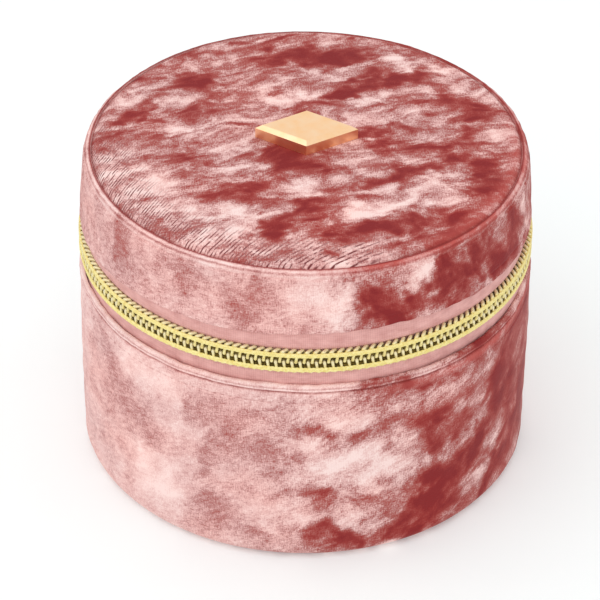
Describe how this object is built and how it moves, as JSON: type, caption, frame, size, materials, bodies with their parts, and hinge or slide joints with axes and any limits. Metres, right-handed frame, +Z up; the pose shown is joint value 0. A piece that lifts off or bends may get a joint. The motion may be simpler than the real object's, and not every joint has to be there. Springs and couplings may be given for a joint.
{
  "type": "travel jewelry case",
  "caption": "Round zipped jewelry case in crushed velvet, with a back-hinged mirrored lid, a lift-out ring tray and a lower compartment.",
  "frame": {"origin": "centre of the underside, on the surface the case stands on", "axes": "+Z up, along the case's axis; -Y to the front, away from the hinge; +X to the right seen from the front"},
  "size_m": [0.1088, 0.1084, 0.0864],
  "materials": {
    "velvet": "crushed velvet, dusty pink with deep red patches",
    "foam": "thin soft foam, hidden",
    "board": "grey board, hidden",
    "lining": "short-pile suede-like lining",
    "zip_tape": "woven ribbed tape",
    "ribbon": "satin ribbon",
    "zip_coil": "metallised pale gold",
    "slider_gold": "polished pale gold plating",
    "badge_gold": "polished rose gold plating",
    "steel": "plain",
    "mirror": "silvered glass"
  },
  "bodies": {
    "base": {"base_bottom_velvet": "velvet", "base_side_velvet": "velvet", "base_side_foam": "foam", "base_wall_board": "board", "base_floor_board": "board", "base_wall_lining": "lining", "base_floor_pad": "lining", "tray_support_ring": "lining", "hinge_strip_lower": "velvet", "hinge_lining_lower": "lining", "lower_zip_tape": "zip_tape", "lower_zip_coil": "zip_coil", "zip_tail_tapes": "zip_tape", "zip_tail_coils": "zip_coil", "zip_end_stops": "slider_gold"},
    "lid": {"hinge_strip_upper": "velvet", "hinge_lining_upper": "lining", "lid_side_velvet": "velvet", "lid_side_foam": "foam", "lid_wall_board": "board", "lid_wall_lining": "lining", "lid_top_board": "board", "lid_top_foam": "foam", "lid_top_velvet": "velvet", "mirror_frame": "lining", "mirror_glass": "mirror", "mirror_backing": "lining", "top_badge": "badge_gold", "badge_posts": "badge_gold", "badge_washers": "steel", "upper_zip_tape": "zip_tape", "upper_zip_coil": "zip_coil"},
    "slider": {"slider_body": "slider_gold", "slider_bridge": "slider_gold"},
    "pull": {"pull_link": "slider_gold", "pull_tab": "slider_gold"},
    "tray": {"tray_wall": "lining", "tray_floor": "lining", "tray_floor_lining": "lining", "tray_divider_cross": "lining", "tray_divider_left": "lining", "tray_divider_right": "lining", "ring_roll_1": "lining", "ring_roll_2": "lining", "ring_roll_3": "lining", "ring_roll_4": "lining", "tray_lift_loops": "ribbon"}
  },
  "joints": [
    {"name": "lid_hinge", "type": "hinge", "parent": "base", "child": "lid", "pos_m": [0, 0.05315, 0.0582], "axis": [-1, 0, 0], "range_deg": [0, 100]},
    {"name": "zip_travel", "type": "hinge", "parent": "base", "child": "slider", "pos_m": [0, 0, 0.0582], "axis": [0, 0, -1], "range_deg": [0, 282]},
    {"name": "pull_swing", "type": "hinge", "parent": "slider", "child": "pull", "pos_m": [0.03675, 0.04539, 0.0582], "axis": [0.7771, -0.6293, 0], "range_deg": [-4, 140]},
    {"name": "tray_lift", "type": "slide", "parent": "base", "child": "tray", "axis": [0, 0, 1], "range_m": [0, 0.02]}
  ]
}
